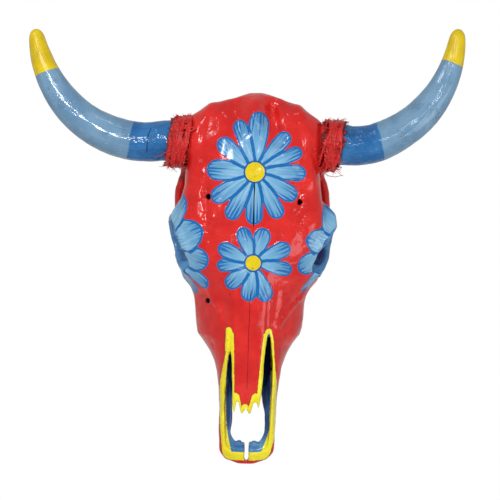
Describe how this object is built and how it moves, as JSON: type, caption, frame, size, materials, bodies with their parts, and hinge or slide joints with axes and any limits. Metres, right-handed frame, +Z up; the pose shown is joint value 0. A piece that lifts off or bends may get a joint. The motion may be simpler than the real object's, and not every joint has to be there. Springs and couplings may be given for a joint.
{
  "type": "cow skull wall decoration",
  "caption": "Painted cow skull for a wall, in separate bones and teeth, with horn sheaths on bony cores and rope wound round the horn roots.",
  "frame": {"origin": "where the nail bears, under the forehead side of the spinal opening in the back of the skull", "axes": "+Z up the wall towards the poll, +Y back into the wall, +X to the right as seen from the front"},
  "size_m": [0.5633, 0.1526, 0.5711],
  "materials": {
    "painted_bone": "red gloss paint with painted flowers, on bone",
    "painted_horn": "gloss paint in bands of blue and yellow, on horn",
    "tooth": "worn enamel and dentine",
    "painted_rope": "frayed plant fibre, painted red"
  },
  "bodies": {
    "root": {"frontal_bone_right": "painted_bone", "frontal_bone_left": "painted_bone", "nasal_bone_right": "painted_bone", "nasal_bone_left": "painted_bone", "incisive_bone_right": "painted_bone", "incisive_bone_left": "painted_bone", "lacrimal_bone_right": "painted_bone", "lacrimal_bone_left": "painted_bone", "zygomatic_bone_right": "painted_bone", "zygomatic_bone_left": "painted_bone", "maxilla_bone_right": "painted_bone", "maxilla_bone_left": "painted_bone", "palatine_bone_right": "painted_bone", "palatine_bone_left": "painted_bone", "temporal_bone_right": "painted_bone", "temporal_bone_left": "painted_bone", "occipital_bone": "painted_bone", "sphenoid_bone": "painted_bone", "vomer": "painted_bone", "premolar_1_right": "tooth", "premolar_1_left": "tooth", "premolar_2_right": "tooth", "premolar_2_left": "tooth", "premolar_3_right": "tooth", "premolar_3_left": "tooth", "molar_1_right": "tooth", "molar_1_left": "tooth", "molar_2_right": "tooth", "molar_2_left": "tooth", "molar_3_right": "tooth", "molar_3_left": "tooth", "horn_sheath_right": "painted_horn", "horn_sheath_left": "painted_horn", "rope_wrap_right": "painted_rope", "rope_wrap_left": "painted_rope"}
  },
  "joints": []
}
